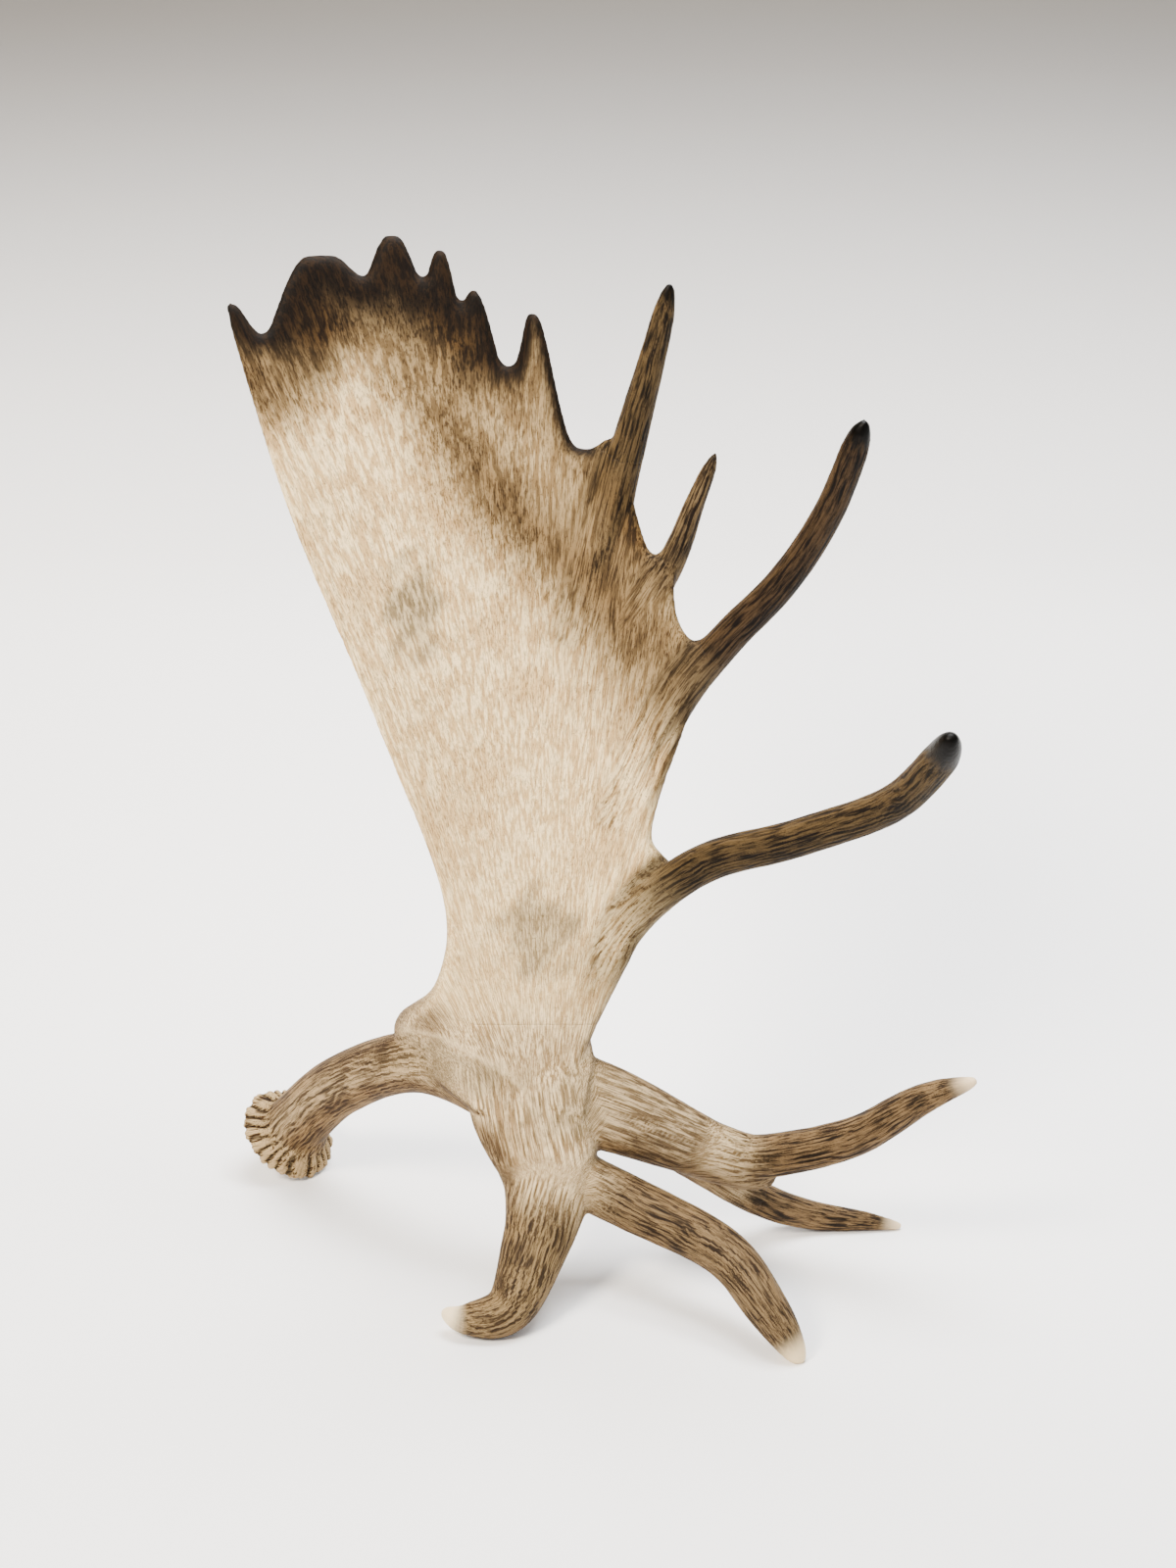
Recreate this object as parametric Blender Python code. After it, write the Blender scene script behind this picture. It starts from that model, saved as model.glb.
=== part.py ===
"""A shed moose antler standing on its burr and its three lowest brow tines.

The antler is modelled as one grown body and then sawn at its main forks, so each limb is a node.
Metres, +Z up, +X towards the tines, -Y towards the hollow front of the palm.
The origin is the middle of the footprint, on the floor.
"""
import bmesh
import bpy
import numpy as np
from mathutils import Matrix, Vector

# Driving dimensions
FUSING_VOXEL = 0.003        # grid on which the limbs are grown into one body
SMOOTHING_PASSES = 5        # rounds the webs between the limbs
TRIANGLE_BUDGET = 7600      # faceted triangles of the whole antler before it is sawn
SAW_KERF = 0.0003           # gap between two neighbouring nodes
BLADE_DEPTH = 0.040         # half depth of a saw blade
FOOT_FLAT = 0.0007          # depth by which the feet are flattened, so that all four meet the floor

# The palm is a plate, thick at the neck and thin above, that cups forward at its edges.
PALM_GRID = 0.003           # spacing of the palm's construction grid
PALM_THIN = 0.0062          # half thickness of the plate high on the palm
PALM_THICK = 0.0150         # half thickness at the neck
PALM_THINS_FROM = 0.24      # height where the plate starts to thin
PALM_THINS_TO = 0.52        # height where it is thin
PALM_FOOT_DEPTH = 0.030     # depth of the plate's middle at the neck
PALM_FOOT_HEIGHT = 0.27
PALM_LEAN = 0.10            # backward lean, metres per metre of height
PALM_CUP = 0.030            # how far the palm's edges stand forward of its middle
PALM_CUP_FROM = 0.22        # height where the cup starts
PALM_CUP_TO = 0.55          # height where it has its full depth
PALM_CUP_LIMIT = 1.6        # greatest depth of the cup, in cup depths
PALM_WIDEST = 0.68          # height of the widest part
PALM_HALF_WIDTH = 0.14
PALM_NARROWING = 0.44       # half width lost per metre squared of height off the widest part
PALM_AXIS_X = -0.055        # x of the cup's middle line low on the palm
PALM_AXIS_BENDS_AT = 0.45   # height from which the middle line runs towards the left
PALM_AXIS_SLOPE = 0.24
BEAM_SWEEP = 1.00           # how far the neck's left side swings back to the beam
BEAM_SWEEP_X = -0.095       # x from which it swings
BEAM_SWEEP_FROM = 0.30      # height where the swing starts, going down
BEAM_SWEEP_TO = 0.20        # height where it is complete
RIM_ROUNDING = 0.011        # width of the rounded border
RIM_BLUNTNESS = 0.10        # share of the plate's thickness that is left at the very rim

HEAD_ON = 0.35              # sine of the angle to the view below which a limb points at the viewer
RING_SIDES = 16             # corners of a limb's cross section
STEPS_PER_SPAN = 8          # rings between two points of a limb's path

# The burr is turned about the end of the beam: distance along the axis, radius.
BURR_AXIS = ((-0.289, 0.204, 0.028), (-0.264, 0.183, 0.059))
BURR_PROFILE = ((0.000, 0.018), (0.003, 0.037), (0.007, 0.047), (0.012, 0.050), (0.018, 0.044),
                (0.026, 0.034), (0.042, 0.028))

BURR_OVAL = 0.9             # depth of the burr's section to its width

# The trunk of the antler, as lofts: x, y, z, half width, half depth.
BEAM = (
    (-0.285, 0.200, 0.035, 0.030, 0.028), (-0.225, 0.145, 0.115, 0.028, 0.027),
    (-0.145, 0.085, 0.170, 0.029, 0.027), (-0.050, 0.030, 0.172, 0.046, 0.027),
    (0.000, 0.022, 0.165, 0.040, 0.023),
)
BROW_BODY = (
    (-0.055, 0.030, 0.235, 0.055, 0.018), (-0.045, 0.022, 0.160, 0.057, 0.025),
    (-0.035, 0.003, 0.100, 0.040, 0.026), (-0.045, -0.035, 0.060, 0.026, 0.024),
)
STEM = (
    (-0.080, 0.040, 0.180, 0.050, 0.024), (0.015, 0.026, 0.155, 0.040, 0.021),
    (0.100, 0.037, 0.110, 0.029, 0.017), (0.145, 0.045, 0.090, 0.026, 0.016),
    (0.165, 0.048, 0.082, 0.018, 0.012),
)

# Each tine: its path, half width at the root and before the nose, depth to width at the root,
# then shares of its length: where it is round, where its nose begins, where it is sawn off,
# and the half width of the saw blade.
TINES = {
    "hook_tine": (
        ((-0.030, 0.000, 0.095), (-0.045, -0.035, 0.055), (-0.065, -0.075, 0.022),
         (-0.100, -0.085, 0.017), (-0.122, -0.080, 0.021)),
        0.037, 0.0125, 0.62, 0.50, 0.72, 0.23, 0.050),
    "front_tine": (
        ((-0.035, 0.020, 0.105), (0.035, -0.005, 0.081), (0.112, -0.060, 0.067),
         (0.149, -0.103, 0.037), (0.176, -0.123, 0.000)),
        0.026, 0.0175, 0.78, 0.35, 0.76, 0.26, 0.040),
    "fork_tine_upper": (
        ((0.110, 0.040, 0.108), (0.150, 0.040, 0.100), (0.225, 0.010, 0.135),
         (0.280, -0.018, 0.187), (0.321, -0.035, 0.213)),
        0.0225, 0.0125, 0.72, 0.50, 0.66, 0.22, 0.032),
    "fork_tine_lower": (
        ((0.085, 0.045, 0.100), (0.150, 0.070, 0.043), (0.200, 0.085, 0.016),
         (0.250, 0.086, 0.009), (0.284, 0.085, 0.004)),
        0.0195, 0.011, 0.75, 0.55, 0.50, 0.37, 0.030),
    "palm_tine_top": (
        ((0.000, 0.055, 0.575), (0.021, 0.046, 0.680), (0.035, 0.038, 0.738),
         (0.052, 0.018, 0.808), (0.062, 0.003, 0.856)),
        0.021, 0.0080, 0.35, 0.55, 0.88, 0.50, 0.028),
    "palm_tine_small": (
        ((0.040, 0.045, 0.585), (0.067, 0.030, 0.637), (0.084, 0.012, 0.689),
         (0.098, 0.000, 0.729)),
        0.015, 0.0055, 0.35, 0.50, 0.85, 0.36, 0.022),
    "palm_tine_middle": (
        ((0.030, 0.040, 0.420), (0.068, 0.024, 0.515), (0.105, 0.008, 0.573),
         (0.151, -0.028, 0.637), (0.180, -0.065, 0.701), (0.198, -0.105, 0.774)),
        0.0175, 0.0105, 0.45, 0.35, 0.92, 0.40, 0.022),
    "palm_tine_low": (
        ((-0.015, 0.040, 0.220), (0.030, 0.030, 0.320), (0.090, -0.005, 0.391),
         (0.160, -0.060, 0.436), (0.225, -0.122, 0.487), (0.251, -0.175, 0.540),
         (0.256, -0.207, 0.571)),
        0.0185, 0.0135, 0.70, 0.30, 0.91, 0.34, 0.022),
}
NOSE_BLUNTNESS = 0.07       # how much of a tine's section is left at its very tip

# Rim of the palm seen from the front, x and z: the two plain edges, and between them the points of
# the scalloped top. A flank is a smooth step whose steep part lies nearer the point the sharper it is.
LEFT_EDGE = ((-0.080, 0.150), (-0.170, 0.190), (-0.128, 0.270), (-0.121, 0.350), (-0.173, 0.505),
             (-0.234, 0.665), (-0.268, 0.785), (-0.279, 0.834))
SPIKE_SHARPNESS = 0.8       # of the spike that ends the left edge
FIRST_VALLEY = (-0.251, 0.809)
RIM_POINTS = (              # point x and z, sharpness, x and z of the valley after it
    (-0.208, 0.867, 0.6, -0.175, 0.850),
    (-0.152, 0.881, 0.7, -0.128, 0.848),
    (-0.115, 0.871, 0.7, -0.098, 0.829),
    (-0.091, 0.841, 0.8, -0.063, 0.783),
    (-0.044, 0.825, 1.3, 0.002, 0.721),
)
RIGHT_EDGE = ((0.020, 0.730), (0.034, 0.690), (0.050, 0.643), (0.068, 0.650), (0.070, 0.600),
              (0.082, 0.577), (0.100, 0.575), (0.076, 0.494), (0.053, 0.408), (0.070, 0.375),
              (0.042, 0.308), (0.011, 0.240), (-0.020, 0.165))
FLANK_SHARE = 0.76          # share of the way from valley to point that is slope
STEPS_PER_FLANK = 8

# Saw cuts through the trunk: a point, the direction of growth across it, half width of the blade.
TRUNK_CUTS = (
    ((-0.185, 0.115, 0.148), (0.75, -0.55, 0.40), 0.045),    # beam from brow palm
    ((-0.055, 0.035, 0.240), (0.00, 0.05, 1.00), 0.120),     # main palm from brow palm
)

# A point inside each node of the trunk, which tells the sawn pieces apart.
TRUNK_HEARTS = {
    "beam": (-0.225, 0.145, 0.115),
    "main_palm": (-0.060, 0.060, 0.550),
    "brow_palm": (-0.025, 0.025, 0.170),
}
TINE_HEART_AT = 0.70        # share of a tine's length that lies well inside its node

# Linear colours of weathered antler, from cream bone to dark brown tines.
CREAM = (0.62, 0.47, 0.30)
TAN = (0.33, 0.23, 0.135)
BROWN = (0.16, 0.095, 0.045)
NODE_COLOURS = {
    "beam": TAN, "main_palm": CREAM, "palm_tine_top": BROWN, "palm_tine_small": TAN,
    "palm_tine_middle": BROWN, "palm_tine_low": BROWN, "brow_palm": CREAM, "hook_tine": TAN,
    "front_tine": TAN, "fork_tine_upper": TAN, "fork_tine_lower": TAN,
}
BONE_ROUGHNESS = 0.65


def clear_scene():
    """Remove every object of the start-up scene."""
    for item in list(bpy.data.objects):
        bpy.data.objects.remove(item, do_unlink=True)


def ramp(value, low, high):
    """Smooth step from 0 at low to 1 at high."""
    t = np.clip((value - low) / (high - low), 0.0, 1.0)
    return t * t * (3.0 - 2.0 * t)


def smooth_curve(points, steps):
    """Points on a Catmull-Rom curve through the given ones, with a few steps in each span."""
    rows = np.array(points, dtype=float)
    padded = np.vstack((2 * rows[0] - rows[1], rows, 2 * rows[-1] - rows[-2]))
    curve = []
    for before, start, end, after in zip(padded, padded[1:], padded[2:], padded[3:]):
        for t in np.arange(steps) / steps:
            curve.append(0.5 * (2 * start + (end - before) * t
                                + (2 * before - 5 * start + 4 * end - after) * t ** 2
                                + (3 * start - before - 3 * end + after) * t ** 3))
    curve.append(rows[-1])
    return np.array(curve)


def shares_of_length(curve):
    """How far along its length each point of a curve lies, from 0 to 1."""
    walked = np.linalg.norm(np.diff(curve[:, :3], axis=0), axis=1).cumsum()
    return np.concatenate(((0.0,), walked)) / walked[-1]


def burr_stations():
    """Stations of the burr, turned about its axis."""
    start, end = (Vector(point) for point in BURR_AXIS)
    axis = (end - start).normalized()
    return np.array([(*(start + axis * along), radius, radius * BURR_OVAL)
                     for along, radius in BURR_PROFILE])


def tine_stations(tine):
    """Stations of a tine: it tapers, turns from flat to round, and ends in a rounded nose."""
    path, root, end, flatness, round_at, nose_at = tine[:6]
    curve = smooth_curve(path, STEPS_PER_SPAN)
    share = shares_of_length(curve)
    into_nose = np.clip((share - nose_at) / (1.0 - nose_at), 0.0, 1.0)
    width = (root + (end - root) * share) * np.sqrt(1.0 - (1.0 - NOSE_BLUNTNESS) * into_nose ** 2)
    depth = width * (flatness + (1.0 - flatness) * ramp(share, 0.0, round_at))
    return np.column_stack((curve, width, depth))


def section_frame(place, tangent, half_width, half_depth):
    """Matrix that takes a unit circle to an oval section, its width lying across the front view."""
    across = tangent.cross(Vector((0.0, -1.0, 0.0)))
    if across.length < HEAD_ON:
        across = tangent.cross(Vector((0.0, -0.5, 1.0)))
    across.normalize()
    depth = tangent.cross(across).normalized()
    turn = Matrix((across * half_width, depth * half_depth, tangent)).transposed().to_4x4()
    return Matrix.Translation(place) @ turn


def grow_limb(bm, stations):
    """Extrude an oval ring from station to station."""
    tangents = np.gradient(stations[:, :3], axis=0)
    frames = []
    for row, tangent in zip(stations, tangents):
        heading = Vector(tangent).normalized()
        frames.append(section_frame(Vector(row[:3]), heading, row[3], row[4]))
    ring = bmesh.ops.create_circle(bm, cap_ends=True, radius=1.0, segments=RING_SIDES,
                                   matrix=frames[0])["verts"]
    cap = next(face for face in ring[0].link_faces)
    for previous, following in zip(frames, frames[1:]):
        grown = bmesh.ops.extrude_face_region(bm, geom=[cap])["geom"]
        verts = [item for item in grown if isinstance(item, bmesh.types.BMVert)]
        cap = next(item for item in grown if isinstance(item, bmesh.types.BMFace))
        bmesh.ops.transform(bm, matrix=following @ previous.inverted(), verts=verts)


def flank(valley, point, sharpness):
    """The rim's way up from a valley to a point, the valley itself left out."""
    share = np.arange(1, STEPS_PER_FLANK + 1)[:, None] / STEPS_PER_FLANK
    rise = ramp(share ** sharpness, 0.5 - FLANK_SHARE / 2, 0.5 + FLANK_SHARE / 2)
    across = valley[0] + (point[0] - valley[0]) * share
    return np.hstack((across, valley[1] + (point[1] - valley[1]) * rise))


def palm_rim():
    """Closed outline of the palm: left edge, scalloped top and right edge."""
    spike = LEFT_EDGE[-1]
    valley = FIRST_VALLEY
    outline = [smooth_curve(LEFT_EDGE, STEPS_PER_SPAN)[:-1],
               flank(valley, spike, SPIKE_SHARPNESS)[::-1], [valley]]
    for *point, sharpness, next_x, next_z in RIM_POINTS:
        outline.append(flank(valley, point, sharpness))
        valley = (next_x, next_z)
        outline.append(flank(valley, point, sharpness)[-2::-1])
        outline.append([valley])
    outline.append(smooth_curve((valley, *RIGHT_EDGE), STEPS_PER_SPAN)[1:])
    return np.vstack(outline)


def rim_distance(x, z, rim):
    """Signed distance from points to the palm's rim, positive inside, and the nearest rim points."""
    edge = np.roll(rim, -1, axis=0) - rim
    to_x = x[:, None] - rim[None, :, 0]
    to_z = z[:, None] - rim[None, :, 1]
    along = np.clip((to_x * edge[:, 0] + to_z * edge[:, 1]) / (edge ** 2).sum(axis=1), 0.0, 1.0)
    near_x = rim[:, 0] + along * edge[:, 0]
    near_z = rim[:, 1] + along * edge[:, 1]
    gap = np.hypot(x[:, None] - near_x, z[:, None] - near_z)
    rows = np.arange(len(x))
    best = gap.argmin(axis=1)
    spans_point = (rim[:, 1] > z[:, None]) != (rim[:, 1] + edge[:, 1] > z[:, None])
    rise = np.where(edge[:, 1] == 0.0, np.inf, edge[:, 1])
    crossing = rim[:, 0] + edge[:, 0] * to_z / rise
    inside = (spans_point & (x[:, None] < crossing)).sum(axis=1) % 2 == 1
    signed = np.where(inside, gap[rows, best], -gap[rows, best])
    return signed, near_x[rows, best], near_z[rows, best]


def palm_middle(x, z):
    """Depth of the palm's middle surface: a backward lean, a cup, and a sweep into the beam."""
    centre = PALM_AXIS_X - PALM_AXIS_SLOPE * np.maximum(z - PALM_AXIS_BENDS_AT, 0.0)
    half_width = PALM_HALF_WIDTH - PALM_NARROWING * (z - PALM_WIDEST) ** 2
    lean = PALM_FOOT_DEPTH + PALM_LEAN * (z - PALM_FOOT_HEIGHT)
    curl = np.minimum(((x - centre) / half_width) ** 2, PALM_CUP_LIMIT)
    cup = PALM_CUP * ramp(z, PALM_CUP_FROM, PALM_CUP_TO) * curl
    swing = BEAM_SWEEP * np.maximum(BEAM_SWEEP_X - x, 0.0)
    return lean - cup + swing * ramp(z, BEAM_SWEEP_FROM, BEAM_SWEEP_TO)


def palm_half_thickness(z, depth_in):
    """The plate thins from the neck upwards and rounds off towards its rim."""
    plate = PALM_THIN + (PALM_THICK - PALM_THIN) * ramp(z, PALM_THINS_TO, PALM_THINS_FROM)
    border = np.clip(depth_in / RIM_ROUNDING, 0.0, 1.0)
    return plate * np.sqrt(RIM_BLUNTNESS + (1.0 - RIM_BLUNTNESS) * (1.0 - (1.0 - border) ** 2))


def grow_palm(bm):
    """Lay a grid over the palm, trim it to the rim, thicken it and bend it into its cup."""
    rim = palm_rim()
    low = rim.min(axis=0) - 2 * PALM_GRID
    high = rim.max(axis=0) + 2 * PALM_GRID
    cells = np.ceil((high - low) / PALM_GRID).astype(int)
    lay_flat = Matrix.Translation(((low[0] + high[0]) / 2, 0.0, (low[1] + high[1]) / 2))
    lay_flat = lay_flat @ Matrix.Rotation(np.pi / 2, 4, "X")
    lay_flat = lay_flat @ Matrix.Diagonal(((high[0] - low[0]) / 2, (high[1] - low[1]) / 2, 1.0, 1.0))
    sheet = bmesh.new()
    bmesh.ops.create_grid(sheet, x_segments=int(cells[0]), y_segments=int(cells[1]), size=1.0,
                          matrix=lay_flat)
    places = np.array([vert.co for vert in sheet.verts])
    signed, near_x, near_z = rim_distance(places[:, 0], places[:, 2], rim)
    reach = 0.6 * PALM_GRID     # vertices nearer to the rim than this are moved onto it
    outside = [vert for vert, gap in zip(sheet.verts, signed) if gap < -reach]
    for vert, gap, edge_x, edge_z in zip(sheet.verts, signed, near_x, near_z):
        if abs(gap) <= reach:
            vert.co.x = edge_x
            vert.co.z = edge_z
    bmesh.ops.delete(sheet, geom=outside, context="VERTS")
    grown = bmesh.ops.extrude_face_region(sheet, geom=sheet.faces[:])["geom"]
    back = {item for item in grown if isinstance(item, bmesh.types.BMVert)}
    places = np.array([vert.co for vert in sheet.verts])
    signed = rim_distance(places[:, 0], places[:, 2], rim)[0]
    middle = palm_middle(places[:, 0], places[:, 2])
    half = palm_half_thickness(places[:, 2], np.maximum(signed, 0.0))
    for vert, depth, thickness in zip(sheet.verts, middle, half):
        vert.co.y = depth + (thickness if vert in back else -thickness)
    bmesh.ops.recalc_face_normals(sheet, faces=sheet.faces[:])
    plate = bpy.data.meshes.new("palm_plate")
    sheet.to_mesh(plate)
    sheet.free()
    bm.from_mesh(plate)
    bpy.data.meshes.remove(plate)


def evaluated_mesh(item):
    """The mesh of an object with its modifiers applied."""
    graph = bpy.context.evaluated_depsgraph_get()
    graph.update()
    return bpy.data.meshes.new_from_object(item.evaluated_get(graph), depsgraph=graph)


def add_object(name, mesh):
    """Link a new object to the scene."""
    item = bpy.data.objects.new(name, mesh)
    bpy.context.scene.collection.objects.link(item)
    return item


def grow_antler():
    """Fuse palm and limbs into one rounded, faceted body that stands flat on the floor."""
    bm = bmesh.new()
    grow_limb(bm, burr_stations())
    for loft in (BEAM, BROW_BODY, STEM):
        grow_limb(bm, smooth_curve(loft, STEPS_PER_SPAN))
    for tine in TINES.values():
        grow_limb(bm, tine_stations(tine))
    bmesh.ops.recalc_face_normals(bm, faces=bm.faces[:])
    grow_palm(bm)
    mesh = bpy.data.meshes.new("antler")
    bm.to_mesh(mesh)
    bm.free()
    antler = add_object("antler", mesh)
    fuse = antler.modifiers.new("fuse", "REMESH")
    fuse.mode = "VOXEL"
    fuse.voxel_size = FUSING_VOXEL
    rounding = antler.modifiers.new("rounding", "SMOOTH")
    rounding.factor = 0.5
    rounding.iterations = SMOOTHING_PASSES
    fine = evaluated_mesh(antler)
    antler.modifiers.clear()
    antler.data = fine
    triangles = sum(len(face.vertices) - 2 for face in fine.polygons)
    facets = antler.modifiers.new("facets", "DECIMATE")
    facets.ratio = TRIANGLE_BUDGET / triangles
    antler.data = evaluated_mesh(antler)
    antler.modifiers.clear()
    for vert in antler.data.vertices:
        vert.co.z = max(vert.co.z - FOOT_FLAT, 0.0)
    return antler


def tine_cut(tine):
    """Where a tine is sawn off: a point on its path, the direction of growth, the blade's width."""
    stations = tine_stations(tine)
    cut_at, half_width = tine[6:]
    ring = int(np.abs(shares_of_length(stations) - cut_at).argmin())
    growth = stations[ring + 1, :3] - stations[ring - 1, :3]
    return stations[ring, :3], growth, half_width


def saw_blades():
    """Thin boxes across each fork, joined in one cutter."""
    bm = bmesh.new()
    for point, growth, half_width in (*TRUNK_CUTS, *(tine_cut(tine) for tine in TINES.values())):
        frame = section_frame(Vector(point), Vector(growth).normalized(), 1.0, 1.0)
        size = Matrix.Diagonal((2 * half_width, 2 * BLADE_DEPTH, SAW_KERF, 1.0))
        bmesh.ops.create_cube(bm, size=1.0, matrix=frame @ size)
    mesh = bpy.data.meshes.new("saw_blades")
    bm.to_mesh(mesh)
    bm.free()
    blades = add_object("saw_blades", mesh)
    blades.hide_render = True
    blades.display_type = "WIRE"
    return blades


def saw(antler, blades):
    """Cut the antler at its forks and return its separate pieces."""
    cut = antler.modifiers.new("saw", "BOOLEAN")
    cut.operation = "DIFFERENCE"
    cut.solver = "EXACT"
    cut.object = blades
    antler.data = evaluated_mesh(antler)
    antler.modifiers.clear()
    bpy.data.objects.remove(blades, do_unlink=True)
    bpy.ops.object.select_all(action="DESELECT")
    antler.select_set(True)
    bpy.context.view_layer.objects.active = antler
    bpy.ops.mesh.separate(type="LOOSE")
    return [item for item in bpy.context.scene.objects if item.type == "MESH"]


def finish(name, colour):
    """Bare bone in the limb's own shade."""
    material = bpy.data.materials.new(name + "_bone")
    material.use_nodes = True
    shader = material.node_tree.nodes["Principled BSDF"]
    shader.inputs["Base Color"].default_value = (*colour, 1.0)
    shader.inputs["Roughness"].default_value = BONE_ROUGHNESS
    shader.inputs["Metallic"].default_value = 0.0
    return material


def node_hearts():
    """A point inside every node, by name."""
    hearts = dict(TRUNK_HEARTS)
    for name, tine in TINES.items():
        stations = tine_stations(tine)
        hearts[name] = stations[np.abs(shares_of_length(stations) - TINE_HEART_AT).argmin(), :3]
    return hearts


def gap_to(piece, heart):
    """Distance from a point to the surface of a piece."""
    found, place, _, _ = piece.closest_point_on_mesh(Vector(heart))
    return (place - Vector(heart)).length if found else np.inf


def name_nodes(pieces):
    """Give each piece the name and the finish of the limb whose heart lies in it."""
    for name, heart in node_hearts().items():
        node = min(pieces, key=lambda piece: gap_to(piece, heart))
        node.name = name
        node.data.name = name
        node.data.materials.clear()
        node.data.materials.append(finish(name, NODE_COLOURS[name]))
        node.data.shade_smooth()


def stand_on_origin(pieces):
    """Move the antler so the middle of its footprint is the origin."""
    corners = np.array([vert.co for piece in pieces for vert in piece.data.vertices])
    middle = (corners.min(axis=0) + corners.max(axis=0)) / 2
    shift = Matrix.Translation((-middle[0], -middle[1], -corners[:, 2].min()))
    for piece in pieces:
        piece.data.transform(shift)


def main():
    clear_scene()
    antler = grow_antler()
    pieces = saw(antler, saw_blades())
    name_nodes(pieces)
    stand_on_origin(pieces)
    print("pieces:", sorted((piece.name, len(piece.data.polygons)) for piece in pieces))


main()
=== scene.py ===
"""A shed moose antler standing on its burr and three lowest brow tines, on a pale curved sweep."""

import bmesh
import bpy
import numpy as np
from mathutils import Matrix, Vector


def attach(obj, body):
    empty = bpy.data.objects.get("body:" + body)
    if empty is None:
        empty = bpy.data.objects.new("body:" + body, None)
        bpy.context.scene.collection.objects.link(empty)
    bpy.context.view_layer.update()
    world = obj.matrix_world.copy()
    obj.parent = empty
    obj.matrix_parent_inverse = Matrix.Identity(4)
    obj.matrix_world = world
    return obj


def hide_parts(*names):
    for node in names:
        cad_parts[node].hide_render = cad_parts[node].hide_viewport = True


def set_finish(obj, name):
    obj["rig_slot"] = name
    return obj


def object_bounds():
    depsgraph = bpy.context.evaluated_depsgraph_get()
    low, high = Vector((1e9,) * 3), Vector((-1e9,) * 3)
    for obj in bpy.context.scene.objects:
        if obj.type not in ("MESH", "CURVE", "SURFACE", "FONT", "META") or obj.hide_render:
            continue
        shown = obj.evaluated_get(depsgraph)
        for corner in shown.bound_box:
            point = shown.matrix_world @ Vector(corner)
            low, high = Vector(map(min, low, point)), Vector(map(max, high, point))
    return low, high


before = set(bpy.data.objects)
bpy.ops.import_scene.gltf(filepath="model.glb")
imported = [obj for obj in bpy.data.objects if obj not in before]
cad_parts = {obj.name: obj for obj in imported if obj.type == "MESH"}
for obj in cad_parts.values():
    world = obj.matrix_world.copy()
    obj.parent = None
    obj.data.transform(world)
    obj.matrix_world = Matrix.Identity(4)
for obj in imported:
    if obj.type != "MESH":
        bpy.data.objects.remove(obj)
cad_low, cad_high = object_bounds()


# ---------------------------------------------------------------- growing the antler
# The whole antler is one piece of bone. Its trunk and tines are oval rings extruded along curves,
# its palm is a trimmed and bent plate, and all of them are fused on a fine grid and smoothed.

# The burr is turned about the end of the beam: distance along the axis, radius.
BURR_AXIS = ((-0.289, 0.204, 0.028), (-0.264, 0.183, 0.059))
BURR_PROFILE = ((0.000, 0.018), (0.003, 0.037), (0.007, 0.047), (0.012, 0.050), (0.018, 0.044),
                (0.026, 0.034), (0.042, 0.028))

# The trunk of the antler, as lofts: x, y, z, half width, half depth.
TRUNK = {
    "beam": (
        (-0.285, 0.200, 0.035, 0.030, 0.028), (-0.225, 0.145, 0.115, 0.028, 0.027),
        (-0.145, 0.085, 0.170, 0.029, 0.027), (-0.050, 0.030, 0.172, 0.046, 0.027),
        (0.000, 0.022, 0.165, 0.040, 0.023)),
    "brow_body": (
        (-0.055, 0.030, 0.235, 0.055, 0.018), (-0.045, 0.022, 0.160, 0.057, 0.025),
        (-0.035, 0.003, 0.100, 0.040, 0.026), (-0.045, -0.035, 0.060, 0.026, 0.024)),
    "stem": (
        (-0.080, 0.040, 0.180, 0.050, 0.024), (0.015, 0.026, 0.155, 0.040, 0.021),
        (0.100, 0.037, 0.110, 0.029, 0.017), (0.145, 0.045, 0.090, 0.026, 0.016),
        (0.165, 0.048, 0.082, 0.018, 0.012)),
}

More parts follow.
